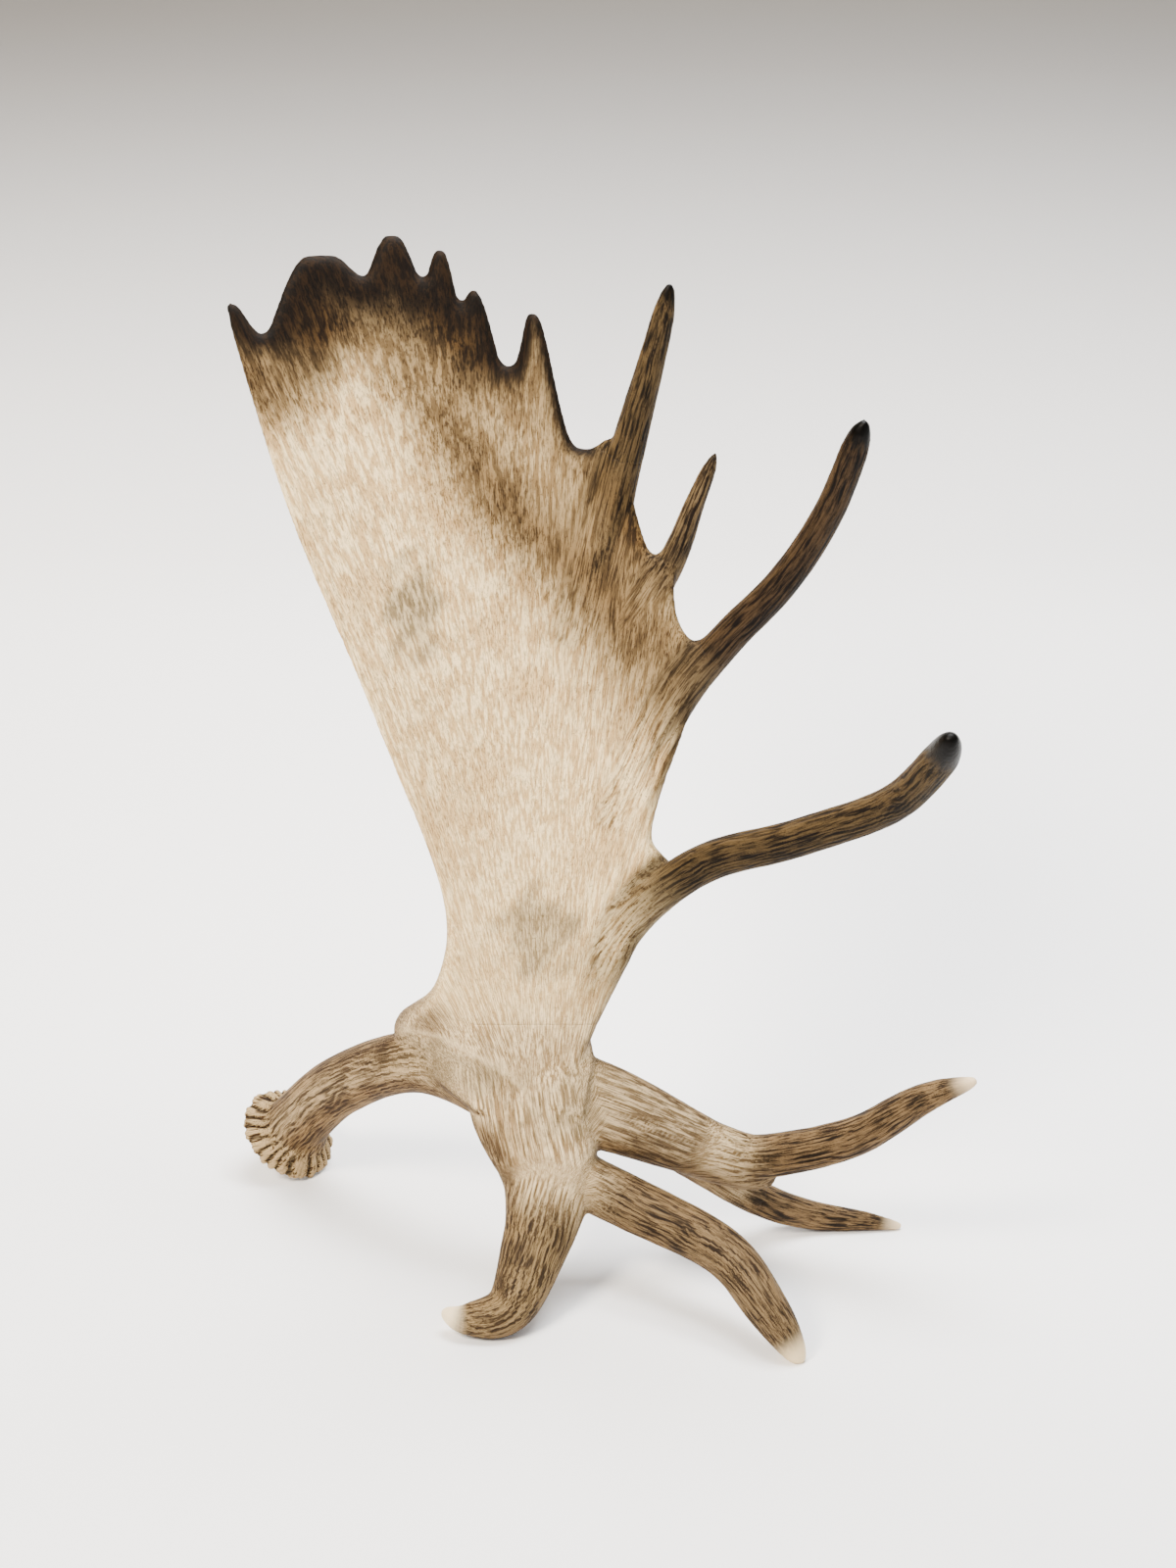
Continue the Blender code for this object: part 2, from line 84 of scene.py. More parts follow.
# Each tine: its path, half width at the root and before the nose, depth to width at the root,
# then shares of its length: where it is round, where its nose begins, where its node ends.
TINES = {
    "hook_tine": (
        ((-0.030, 0.000, 0.095), (-0.045, -0.035, 0.055), (-0.065, -0.075, 0.022),
         (-0.100, -0.085, 0.017), (-0.122, -0.080, 0.021)),
        0.037, 0.0125, 0.62, 0.50, 0.72, 0.23),
    "front_tine": (
        ((-0.035, 0.020, 0.105), (0.035, -0.005, 0.081), (0.112, -0.060, 0.067),
         (0.149, -0.103, 0.037), (0.176, -0.123, 0.000)),
        0.026, 0.0175, 0.78, 0.35, 0.76, 0.26),
    "fork_tine_upper": (
        ((0.110, 0.040, 0.108), (0.150, 0.040, 0.100), (0.225, 0.010, 0.135),
         (0.280, -0.018, 0.187), (0.321, -0.035, 0.213)),
        0.0225, 0.0125, 0.72, 0.50, 0.66, 0.22),
    "fork_tine_lower": (
        ((0.085, 0.045, 0.100), (0.150, 0.070, 0.043), (0.200, 0.085, 0.016),
         (0.250, 0.086, 0.009), (0.284, 0.085, 0.004)),
        0.0195, 0.011, 0.75, 0.55, 0.50, 0.37),
    "palm_tine_top": (
        ((0.000, 0.055, 0.575), (0.021, 0.046, 0.680), (0.035, 0.038, 0.738),
         (0.052, 0.018, 0.808), (0.062, 0.003, 0.856)),
        0.021, 0.0080, 0.35, 0.55, 0.88, 0.50),
    "palm_tine_small": (
        ((0.040, 0.045, 0.585), (0.067, 0.030, 0.637), (0.084, 0.012, 0.689),
         (0.098, 0.000, 0.729)),
        0.015, 0.0055, 0.35, 0.50, 0.85, 0.36),
    "palm_tine_middle": (
        ((0.030, 0.040, 0.420), (0.068, 0.024, 0.515), (0.105, 0.008, 0.573),
         (0.151, -0.028, 0.637), (0.180, -0.065, 0.701), (0.198, -0.105, 0.774)),
        0.0175, 0.0105, 0.45, 0.35, 0.92, 0.40),
    "palm_tine_low": (
        ((-0.015, 0.040, 0.220), (0.030, 0.030, 0.320), (0.090, -0.005, 0.391),
         (0.160, -0.060, 0.436), (0.225, -0.122, 0.487), (0.251, -0.175, 0.540),
         (0.256, -0.207, 0.571)),
        0.0185, 0.0135, 0.70, 0.30, 0.91, 0.34),
}
NOSE_BLUNTNESS = 0.07       # how much of a tine's section is left at its very tip

# Rim of the palm seen from the front, x and z: the two plain edges, and between them the points of
# the scalloped top. A flank is a smooth step whose steep part lies nearer the point the sharper it is.
LEFT_EDGE = ((-0.080, 0.150), (-0.170, 0.190), (-0.128, 0.270), (-0.121, 0.350), (-0.173, 0.505),
             (-0.234, 0.665), (-0.268, 0.785), (-0.279, 0.834))
SPIKE_SHARPNESS = 0.8       # of the spike that ends the left edge
FIRST_VALLEY = (-0.251, 0.809)
RIM_POINTS = (              # point x and z, sharpness, x and z of the valley after it
    (-0.208, 0.867, 0.6, -0.175, 0.850),
    (-0.152, 0.881, 0.7, -0.128, 0.848),
    (-0.115, 0.871, 0.7, -0.098, 0.829),
    (-0.091, 0.841, 0.8, -0.063, 0.783),
    (-0.044, 0.825, 1.3, 0.002, 0.721),
)
RIGHT_EDGE = ((0.020, 0.730), (0.034, 0.690), (0.050, 0.643), (0.068, 0.650), (0.070, 0.600),
              (0.082, 0.577), (0.100, 0.575), (0.076, 0.494), (0.053, 0.408), (0.070, 0.375),
              (0.042, 0.308), (0.011, 0.240), (-0.020, 0.165))

PALM_GRID = 0.003           # spacing of the palm's construction grid
PALM_SNAP = 0.6 * PALM_GRID     # grid points nearer to the rim than this are moved onto it
PALM_THIN = 0.0062          # half thickness of the plate high on the palm
PALM_THICK = 0.0150         # half thickness at the neck
PALM_THINS_OVER = (0.52, 0.24)  # heights where the plate is at its thinnest and at its thickest
PALM_CUP = 0.030            # how far the palm's edges stand forward of its middle
CUP_SETS_IN = (0.22, 0.55)  # heights between which the cup deepens
CUP_LIMIT = 1.6             # greatest square of the distance from the cup's middle, in half widths
PALM_CENTRE = (-0.055, 0.24, 0.45)      # x of the cup's middle, its slope, and where the slope starts
PALM_HALF_WIDTH = (0.14, 0.44, 0.68)    # greatest half width, how fast it narrows, and its height
PALM_LEAN = (0.030, 0.10, 0.27)         # depth of the middle, its slope, and the height it is for
INTO_BEAM_FROM = -0.095     # x left of which the neck sweeps back into the beam
INTO_BEAM_OVER = (0.30, 0.20)           # heights between which that sweep sets in
RIM_ROUNDING = 0.011        # width of the rounded border
RIM_SQUARE = 0.10           # share of the thickness left at the very border, squared
HEAD_ON = 0.35              # sine of the angle to the line of sight below which a section turns
BURR_OVAL = 0.9             # the burr's depth to its width
FINE_VOXEL = 0.0021
SMOOTHING_REACH = 0.0000225  # passes times voxel squared: rounds the webs alike on any grid, in m2
FOOT_FLAT = 0.0007          # depth by which the feet are flattened, so that all four meet the floor
RING_SIDES = 24
STEPS_PER_SPAN = 10


def ramp(value, low, high):
    """Smooth step from 0 at low to 1 at high."""
    t = np.clip((value - low) / (high - low), 0.0, 1.0)
    return t * t * (3.0 - 2.0 * t)


def smooth_curve(points, steps):
    """Points on a Catmull-Rom curve through the given ones, with a few steps in each span."""
    rows = np.array(points, dtype=float)
    padded = np.vstack((2 * rows[0] - rows[1], rows, 2 * rows[-1] - rows[-2]))
    curve = []
    for before, start, end, after in zip(padded, padded[1:], padded[2:], padded[3:]):
        for t in np.arange(steps) / steps:
            curve.append(0.5 * (2 * start + (end - before) * t
                                + (2 * before - 5 * start + 4 * end - after) * t ** 2
                                + (3 * start - before - 3 * end + after) * t ** 3))
    curve.append(rows[-1])
    return np.array(curve)


def walked_length(curve):
    """Distance along a curve to each of its points."""
    return np.concatenate(((0.0,), np.linalg.norm(np.diff(curve[:, :3], axis=0), axis=1).cumsum()))


def tine_stations(tine):
    """Stations of a tine: it tapers, turns from flat to round, and ends in a rounded nose."""
    path, root, end, flatness, round_at, nose_at = tine[:6]
    curve = smooth_curve(path, STEPS_PER_SPAN)
    share = walked_length(curve)
    share /= share[-1]
    into_nose = np.clip((share - nose_at) / (1.0 - nose_at), 0.0, 1.0)
    width = (root + (end - root) * share) * np.sqrt(1.0 - (1.0 - NOSE_BLUNTNESS) * into_nose ** 2)
    depth = width * (flatness + (1.0 - flatness) * ramp(share, 0.0, round_at))
    return np.column_stack((curve, width, depth))


def section_axes(tangents):
    """Unit directions across each section as seen from the front, and in its depth."""
    tangents = tangents / np.linalg.norm(tangents, axis=1)[:, None]
    across = np.cross(tangents, (0.0, -1.0, 0.0))
    head_on = np.linalg.norm(across, axis=1) < HEAD_ON
    across[head_on] = np.cross(tangents[head_on], (0.0, -0.5, 1.0))
    across /= np.linalg.norm(across, axis=1)[:, None]
    return tangents, across, np.cross(tangents, across)


def grow_limb(bm, stations):
    """Extrude an oval ring from station to station."""
    frames = []
    axes = section_axes(np.gradient(stations[:, :3], axis=0))
    for row, ahead, across, depth in zip(stations, *axes):
        turn = Matrix((across * row[3], depth * row[4], ahead)).transposed().to_4x4()
        frames.append(Matrix.Translation(row[:3]) @ turn)
    ring = bmesh.ops.create_circle(bm, cap_ends=True, radius=1.0, segments=RING_SIDES,
                                   matrix=frames[0])["verts"]
    cap = next(face for face in ring[0].link_faces)
    for previous, following in zip(frames, frames[1:]):
        grown = bmesh.ops.extrude_face_region(bm, geom=[cap])["geom"]
        verts = [item for item in grown if isinstance(item, bmesh.types.BMVert)]
        cap = next(item for item in grown if isinstance(item, bmesh.types.BMFace))
        bmesh.ops.transform(bm, matrix=following @ previous.inverted(), verts=verts)


def flank(valley, point, sharpness):
    """The rim's way up from a valley to a point, the valley itself left out."""
    share = np.arange(1, STEPS_PER_SPAN + 1)[:, None] / STEPS_PER_SPAN
    rise = ramp(share ** sharpness, 0.12, 0.88)
    return np.hstack((valley[0] + (point[0] - valley[0]) * share,
                      valley[1] + (point[1] - valley[1]) * rise))


def scalloped_top():
    """The palm's rim from the tip of the spike over the points to the last valley."""
    valley = FIRST_VALLEY
    outline = [flank(valley, LEFT_EDGE[-1], SPIKE_SHARPNESS)[::-1], [valley]]
    for *point, sharpness, next_x, next_z in RIM_POINTS:
        outline.append(flank(valley, point, sharpness))
        valley = (next_x, next_z)
        outline.append(flank(valley, point, sharpness)[-2::-1])
        outline.append([valley])
    return np.vstack(outline)


def palm_rim():
    """Closed outline of the palm: left edge, scalloped top and right edge."""
    top = scalloped_top()
    return np.vstack((smooth_curve(LEFT_EDGE, STEPS_PER_SPAN)[:-1], top,
                      smooth_curve((top[-1], *RIGHT_EDGE), STEPS_PER_SPAN)[1:]))


def nearest_on_line(x, z, start, end):
    """Distance from points to a broken line in the front view, and the nearest places on it."""
    edge = end - start
    to_x = x[:, None] - start[None, :, 0]
    to_z = z[:, None] - start[None, :, 1]
    along = np.clip((to_x * edge[:, 0] + to_z * edge[:, 1]) / (edge ** 2).sum(axis=1), 0.0, 1.0)
    near_x = start[:, 0] + along * edge[:, 0]
    near_z = start[:, 1] + along * edge[:, 1]
    gap = np.hypot(x[:, None] - near_x, z[:, None] - near_z)
    rows = np.arange(len(x))
    best = gap.argmin(axis=1)
    return gap[rows, best], near_x[rows, best], near_z[rows, best]


def rim_distance(x, z, rim):
    """Signed distance from points to the palm's rim, positive inside, and the nearest rim points."""
    following = np.roll(rim, -1, axis=0)
    gap, near_x, near_z = nearest_on_line(x, z, rim, following)
    edge = following - rim
    spans_point = (rim[:, 1] > z[:, None]) != (following[:, 1] > z[:, None])
    rise = np.where(edge[:, 1] == 0.0, np.inf, edge[:, 1])
    crossing = rim[:, 0] + edge[:, 0] * (z[:, None] - rim[:, 1]) / rise
    inside = (spans_point & (x[:, None] < crossing)).sum(axis=1) % 2 == 1
    return np.where(inside, gap, -gap), near_x, near_z


def palm_middle(x, z):
    """Depth of the palm's middle surface: a backward lean, a cup, and a sweep into the beam."""
    centre = PALM_CENTRE[0] - PALM_CENTRE[1] * np.maximum(z - PALM_CENTRE[2], 0.0)
    half_width = PALM_HALF_WIDTH[0] - PALM_HALF_WIDTH[1] * (z - PALM_HALF_WIDTH[2]) ** 2
    lean = PALM_LEAN[0] + PALM_LEAN[1] * (z - PALM_LEAN[2])
    rise = np.minimum(((x - centre) / half_width) ** 2, CUP_LIMIT)
    cup = PALM_CUP * ramp(z, *CUP_SETS_IN) * rise
    into_beam = np.maximum(INTO_BEAM_FROM - x, 0.0) * ramp(z, *INTO_BEAM_OVER)
    return lean - cup + into_beam


def grow_palm(bm):
    """Lay a grid over the palm, trim it to the rim, thicken it and bend it into its cup."""
    rim = palm_rim()
    low = rim.min(axis=0) - 2 * PALM_GRID
    high = rim.max(axis=0) + 2 * PALM_GRID
    cells = np.ceil((high - low) / PALM_GRID).astype(int)
    lay_flat = Matrix.Translation(((low[0] + high[0]) / 2, 0.0, (low[1] + high[1]) / 2))
    lay_flat = lay_flat @ Matrix.Rotation(np.pi / 2, 4, "X")
    half_size = (high - low) / 2
    lay_flat = lay_flat @ Matrix.Diagonal((half_size[0], half_size[1], 1.0, 1.0))
    sheet = bmesh.new()
    bmesh.ops.create_grid(sheet, x_segments=int(cells[0]), y_segments=int(cells[1]), size=1.0,
                          matrix=lay_flat)
    places = np.array([vert.co for vert in sheet.verts])
    signed, near_x, near_z = rim_distance(places[:, 0], places[:, 2], rim)
    outside = [vert for vert, gap in zip(sheet.verts, signed) if gap < -PALM_SNAP]
    for vert, gap, edge_x, edge_z in zip(sheet.verts, signed, near_x, near_z):
        if abs(gap) <= PALM_SNAP:
            vert.co.x = edge_x
            vert.co.z = edge_z
    bmesh.ops.delete(sheet, geom=outside, context="VERTS")
    grown = bmesh.ops.extrude_face_region(sheet, geom=sheet.faces[:])["geom"]
    back = {item for item in grown if isinstance(item, bmesh.types.BMVert)}
    places = np.array([vert.co for vert in sheet.verts])
    signed = rim_distance(places[:, 0], places[:, 2], rim)[0]
    plate = PALM_THIN + (PALM_THICK - PALM_THIN) * ramp(places[:, 2], *PALM_THINS_OVER)
    border = np.clip(signed / RIM_ROUNDING, 0.0, 1.0)
    half = plate * np.sqrt(RIM_SQUARE + (1.0 - RIM_SQUARE) * (1.0 - (1.0 - border) ** 2))
    middle = palm_middle(places[:, 0], places[:, 2])
    for vert, depth, thickness in zip(sheet.verts, middle, half):
        vert.co.y = depth + (thickness if vert in back else -thickness)
    bmesh.ops.recalc_face_normals(sheet, faces=sheet.faces[:])
    plate_mesh = bpy.data.meshes.new("palm_plate")
    sheet.to_mesh(plate_mesh)
    sheet.free()
    bm.from_mesh(plate_mesh)
    bpy.data.meshes.remove(plate_mesh)


def coordinates(mesh):
    """The places of a mesh's vertices, as rows of x, y and z."""
    flat = np.empty(3 * len(mesh.vertices))
    mesh.vertices.foreach_get("co", flat)
    return flat.reshape(-1, 3)


LIMBS = {name: smooth_curve(loft, STEPS_PER_SPAN) for name, loft in TRUNK.items()}
LIMBS.update((name, tine_stations(tine)) for name, tine in TINES.items())

bm = bmesh.new()
axis_start, axis_end = (Vector(point) for point in BURR_AXIS)
burr_axis = (axis_end - axis_start).normalized()
grow_limb(bm, np.array([(*(axis_start + burr_axis * along), radius, radius * BURR_OVAL)
                        for along, radius in BURR_PROFILE]))
for stations in LIMBS.values():
    grow_limb(bm, stations)
bmesh.ops.recalc_face_normals(bm, faces=bm.faces[:])
grow_palm(bm)
shells = bpy.data.meshes.new("shells")
bm.to_mesh(shells)
bm.free()
antler = bpy.data.objects.new("antler", shells)
bpy.context.scene.collection.objects.link(antler)
fuse = antler.modifiers.new("fuse", "REMESH")
fuse.mode = "VOXEL"
fuse.voxel_size = FINE_VOXEL
rounding = antler.modifiers.new("rounding", "SMOOTH")
rounding.factor = 0.5
rounding.iterations = round(2 * SMOOTHING_REACH / FINE_VOXEL ** 2)
graph = bpy.context.evaluated_depsgraph_get()
bone = bpy.data.meshes.new_from_object(antler.evaluated_get(graph), depsgraph=graph)
antler.modifiers.clear()
antler.data = bone
bpy.data.meshes.remove(shells)

places = coordinates(bone)
places[:, 2] = np.maximum(places[:, 2] - FOOT_FLAT, 0.0)
bone.vertices.foreach_set("co", places.ravel())
bone.update()


# ---------------------------------------------------------------- naming the limbs
# Each face belongs to the limb beyond whose fork it lies. The beam and the tines are then divided
# once more, because their ridges are only a few millimetres apart. The two palms stay as they are.
NAMES = ("brow_palm", "main_palm", "beam", *TINES)
TINE_REACH = 0.012          # how far a tine's faces lie outside its plain section at most
BEAM_CUT = ((-0.185, 0.115, 0.148), (0.75, -0.55, 0.40))    # a point on the cut, and its direction
PALM_CUT_HEIGHT = 0.240
UNDIVIDED = ("main_palm", "brow_palm")


def limb_of(places):
    """Which of NAMES each place belongs to."""
    owner = np.zeros(len(places), dtype=int)
    owner[places[:, 2] > PALM_CUT_HEIGHT] = NAMES.index("main_palm")
    behind = (places - BEAM_CUT[0]) @ np.array(BEAM_CUT[1]) < 0
    owner[behind & (places[:, 2] < PALM_CUT_HEIGHT)] = NAMES.index("beam")
    for name, tine in TINES.items():
        stations = LIMBS[name]
        length = walked_length(stations)
        cut = int(np.abs(length / length[-1] - tine[6]).argmin())
        growth = stations[cut + 1, :3] - stations[cut - 1, :3]
        beyond = (places - stations[cut, :3]) @ growth > 0
        rows = np.flatnonzero(beyond)
        gap = np.linalg.norm(places[rows, None, :] - stations[None, cut:, :3], axis=2)
        near = (gap < stations[cut:, 3] + TINE_REACH).any(axis=1)
        owner[rows[near]] = NAMES.index(name)
    return owner


bm = bmesh.new()
bm.from_mesh(bone)
owners = limb_of(np.array([face.calc_center_median() for face in bm.faces]))
for face, owner in zip(bm.faces, owners):
    face.material_index = int(owner)
plain = [NAMES.index(name) for name in UNDIVIDED]
ridged = [edge for edge in bm.edges
          if all(face.material_index not in plain for face in edge.link_faces)]
bmesh.ops.subdivide_edges(bm, edges=ridged, cuts=1, use_grid_fill=True)
ridged = [vert for vert in bm.verts
          if all(face.material_index not in plain for face in vert.link_faces)]
bmesh.ops.smooth_vert(bm, verts=ridged, factor=0.5, use_axis_x=True, use_axis_y=True,
                      use_axis_z=True)
bm.to_mesh(bone)
bm.free()


# ---------------------------------------------------------------- growth lines
# Bone is laid down along each limb, so ridges, grooves and streaks follow it. Every vertex gets its
# place on the straightened limb and on the palm's fan, which the relief and the finishes both use.
FAN_CENTRE = (-0.035, 0.090)    # x and z from which the palm's grain spreads
FAN_RADIUS = 0.35               # distance at which the fan's grain has its true width
BLENDS_OVER = 0.006             # distance over which the shades of two limbs run into each other
places = coordinates(bone)
flat = np.empty(3 * len(bone.vertices))
bone.vertices.foreach_get("normal", flat)
normals = flat.reshape(-1, 3)

count = len(places)
best_gap = np.full(count, 1.0)
next_gap = np.full(count, 1.0)
growth = np.zeros((count, 3))
angle = np.zeros(count)
share = np.zeros(count)
limb = np.zeros(count, dtype=int)
past_end = np.zeros(count)
nearness = np.zeros((len(LIMBS), count))    # share that each limb has in the shades of a place
limb_share = np.zeros((len(LIMBS), count))
for index, (name, stations) in enumerate(LIMBS.items()):
    ahead, across, depth = section_axes(np.gradient(stations[:, :3], axis=0))
    length = walked_length(stations)
    for part in np.array_split(np.arange(count), 40):
        to_stations = np.linalg.norm(places[part, None, :] - stations[None, :, :3], axis=2)
        nearest = to_stations.argmin(axis=1)
        out = places[part] - stations[nearest, :3]
        step = (out * ahead[nearest]).sum(axis=1)
        out_a = (out * across[nearest]).sum(axis=1)
        out_b = (out * depth[nearest]).sum(axis=1)
        away = np.hypot(out_a, out_b)
        beyond_end = np.maximum(np.abs(step) - 0.01, 0.0)
        surface = np.hypot(out_a * stations[nearest, 3], out_b * stations[nearest, 4])
        gap = away - surface / np.maximum(away, 1e-6) + beyond_end
        if name in TRUNK:       # the ends of the trunk's lofts lie buried in other limbs
            gap += 0.03 * ramp((length[nearest] + step) / length[-1], 0.55, 1.0)
        nearness[index, part] = np.exp(-gap / BLENDS_OVER)
        limb_share[index, part] = (length[nearest] + step) / length[-1]
        wins = gap < best_gap[part]
        next_gap[part] = np.where(wins, best_gap[part], np.minimum(next_gap[part], gap))
        here = part[wins]
        best_gap[here] = gap[wins]
        limb[here] = index
        growth[here, 0] = out_a[wins]
        growth[here, 1] = out_b[wins]
        growth[here, 2] = (length[nearest] + step)[wins]
        angle[here] = np.arctan2(out_b, out_a)[wins]
        share[here] = ((length[nearest] + step) / length[-1])[wins]
        past_end[here] = np.abs(step)[wins]

limb_names = list(LIMBS)
on_limb = ramp(next_gap - best_gap, 0.000, 0.016) * ramp(best_gap, 0.012, 0.004)
on_trunk = limb < len(TRUNK)
on_limb *= np.where(on_trunk, ramp(past_end, 0.010, 0.004), 1.0)
fan_angle = np.arctan2(places[:, 0] - FAN_CENTRE[0], places[:, 2] - FAN_CENTRE[1])
fan_reach = np.hypot(places[:, 0] - FAN_CENTRE[0], places[:, 2] - FAN_CENTRE[1])
fan = np.column_stack((fan_angle * FAN_RADIUS, places[:, 1], fan_reach))


# ---------------------------------------------------------------- relief
# Blood vessels of the velvet left lengthwise grooves between rounded ridges on beam and tines, low
# veins on the palm, and knobs and pearls on the burr. All of it is real relief, cut into the bone.
RIDGE_DEPTH = 0.0011
# Each limb: ridges round it, their depth as a share of the full one, share of length where the
# bare polished tip starts and where it is complete.
RIDGES = {
    "beam": (38, 0.60, 1.5, 2.0), "brow_body": (40, 0.12, 1.5, 2.0), "stem": (38, 0.35, 1.5, 2.0),
    "hook_tine": (31, 0.65, 0.86, 0.95), "front_tine": (28, 0.80, 0.90, 0.98),
    "fork_tine_upper": (24, 0.75, 0.90, 1.00), "fork_tine_lower": (21, 0.75, 0.90, 1.00),
    "palm_tine_top": (17, 0.60, 0.93, 0.99), "palm_tine_small": (13, 0.60, 0.93, 1.00),
    "palm_tine_middle": (20, 0.75, 0.94, 0.98), "palm_tine_low": (23, 0.85, 0.92, 0.97),
}
# Shares of length between which the trunk's own ridges fade in, and between which they fade out.
TRUNK_FADES = {"beam": (-0.2, -0.1, 0.48, 0.80), "brow_body": (0.0, 0.35, 0.55, 0.85),
               "stem": (0.0, 0.35, 0.75, 1.0)}
PLATE_WAVES = 0.00035       # height of the low waves that cover the palm


def waves(*terms):
    """A smooth wandering value between about -1 and 1 from waves of the given phases."""
    return sum(np.sin(term + 1.7 * order) for order, term in enumerate(terms)) / len(terms)


ridge_count = np.array([RIDGES[name][0] for name in limb_names])[limb]
ridge_depth = np.array([RIDGES[name][1] for name in limb_names])[limb]
tip_from = np.array([RIDGES[name][2] for name in limb_names])[limb]
tip_to = np.array([RIDGES[name][3] for name in limb_names])[limb]
for name, (start, full, fading, gone) in TRUNK_FADES.items():
    here = limb == limb_names.index(name)
    on_limb[here] *= (ramp(share, start, full) * ramp(share, gone, fading))[here]
polish = ramp(share, tip_from, tip_to) * ramp(best_gap, 0.012, 0.004)
seed = 2.1 * limb
way = growth[:, 2]
wander = (0.13 * waves(way / 0.021 + seed, way / 0.0093 + 2 * angle + seed, 3 * angle + seed)
          + 0.06 * waves(way / 0.0052 + 4 * angle + seed, way / 0.0071 - 3 * angle)
          + 0.30 * waves(2 * angle + seed, way / 0.045 + angle))
turned = ridge_count * (angle + wander)
broad = np.abs(np.cos(turned / 2)) ** 0.7
small = np.abs(np.cos(turned * 0.5 * 1.97 + 3.0 * waves(way / 0.017 + seed, way / 0.0093 + angle)))
broken = 0.5 + 0.5 * waves(way / 0.0085 + 3 * angle + seed, way / 0.0137 - 5 * angle,
                           way / 0.0051 + angle)
height = 0.72 * broad + 0.28 * small ** 0.8
height = height * (0.62 + 0.38 * broken)
ridged = on_limb * ridge_depth * (1.0 - polish)
relief = -RIDGE_DEPTH * ridged * (1.0 - height)

# Veins, as half width, height (below 0 for a groove) and a course in the front view. Those of the
# palm follow its fan: angle from upright and bend in degrees, and the reach they start and end at.
FAN_VEINS = (
    (0.0022, -0.0010, -17.0, 1.0, 0.24, 0.66), (0.0020, 0.0008, -16.0, 1.0, 0.22, 0.62),
    (0.0018, -0.0009, -15.0, -1.0, 0.20, 0.52), (0.0016, -0.0006, -11.5, 1.5, 0.26, 0.70),
    (0.0016, -0.0006, -7.0, -1.5, 0.24, 0.66), (0.0016, -0.0005, -2.0, 1.0, 0.28, 0.60),
    (0.0016, -0.0006, 3.0, -1.0, 0.24, 0.62), (0.0018, -0.0007, 7.0, 1.5, 0.22, 0.56),
    (0.0022, -0.0010, 10.5, 1.0, 0.18, 0.46), (0.0022, -0.0011, 13.0, -1.0, 0.17, 0.46),
    (0.0018, 0.0008, 11.8, 1.5, 0.19, 0.44),
)
# Those of the trunk sweep from the beam over the hub, and from the hub along the stem: x and z.
TRUNK_VEINS = (
    (0.0040, 0.0016,
     ((-0.190, 0.185), (-0.145, 0.212), (-0.100, 0.214), (-0.060, 0.190), (-0.035, 0.150))),
    (0.0030, -0.0010, ((-0.175, 0.172), (-0.120, 0.196), (-0.080, 0.190), (-0.055, 0.160))),
    (0.0030, 0.0010, ((-0.020, 0.150), (0.020, 0.160), (0.070, 0.135), (0.120, 0.110))),
    (0.0022, -0.0009, ((0.000, 0.140), (0.050, 0.135), (0.100, 0.108), (0.150, 0.098))),
)
VEIN_SEARCH = 0.02          # how far from a vein's corners its relief is worked out
VEIN_SOFTENING = 0.6        # share of a raised vein's height that is kept


def fan_course(angle, bend, start, end):
    """Path of a vein that follows the palm's fan."""
    t = np.linspace(0.0, 1.0, 12)
    lean = np.radians(angle + bend * np.sin(2.5 * np.pi * t))
    reach = start + (end - start) * t
    return np.column_stack((FAN_CENTRE[0] + reach * np.sin(lean),
                            FAN_CENTRE[1] + reach * np.cos(lean)))


veins = [(half_width, rise, smooth_curve(path, 6)) for half_width, rise, path in TRUNK_VEINS]
veins += [(half_width, rise, fan_course(*course)) for half_width, rise, *course in FAN_VEINS]
facing_front = ramp(-normals[:, 1], 0.10, 0.45)
vein_relief = np.zeros(count)
for half_width, rise, line in veins:
    in_front_view = places[:, (0, 2)]
    near = np.flatnonzero(((in_front_view > line.min(axis=0) - VEIN_SEARCH)
                           & (in_front_view < line.max(axis=0) + VEIN_SEARCH)).all(axis=1))
    wobble = 0.0012 * waves(places[near, 2] / 0.008, places[near, 0] / 0.006,
                            places[near, 2] / 0.0033)
    gap = nearest_on_line(places[near, 0] + wobble, places[near, 2], line[:-1], line[1:])[0]
    vein_relief[near] += rise * np.exp(-(gap / half_width) ** 2)
vein_relief *= facing_front * (1.0 - polish)
on_palm = 1.0 - on_limb
plate = PLATE_WAVES * waves(fan_angle / 0.045 + 2 * waves(fan_reach / 0.05),
                            fan_angle / 0.023 + fan_reach / 0.06,
                            fan_reach / 0.037 + fan_angle / 0.09) * on_palm
raised = VEIN_SOFTENING * np.maximum(vein_relief, 0.0)
relief += np.minimum(vein_relief, 0.0) + raised + plate - PLATE_WAVES * on_palm

# The burr's coronet: rough cords that run down the flare and end in knobs at its rim, with deep
# crevices between them.
CREVICE_DEPTH = 0.0050
BURR_REACH = 0.07           # how far from the axis the burr is looked for
SEAL_REACH = 0.04           # the same for the seal, the porous face that parted from the skull
SEAL_DEPTH = 0.001
axis = np.array(burr_axis)
from_seal = places - np.array(axis_start)
along_axis = from_seal @ axis
off_axis = from_seal - along_axis[:, None] * axis
from_axis = np.linalg.norm(off_axis, axis=1)
side = np.array(burr_axis.cross(Vector((0.0, 0.0, 1.0))).normalized())
top = np.cross(side, axis)
around = np.arctan2(off_axis @ top, off_axis @ side)
burr = ramp(along_axis, 0.040, 0.018) * (from_axis < BURR_REACH)
twist = (0.55 * waves(3 * around, 5 * around + 1.0, along_axis / 0.009)
         + 0.12 * waves(along_axis / 0.004 + 2 * around))
cords = np.abs(np.cos(10.5 * (around + 0.35 * twist))) ** 0.75
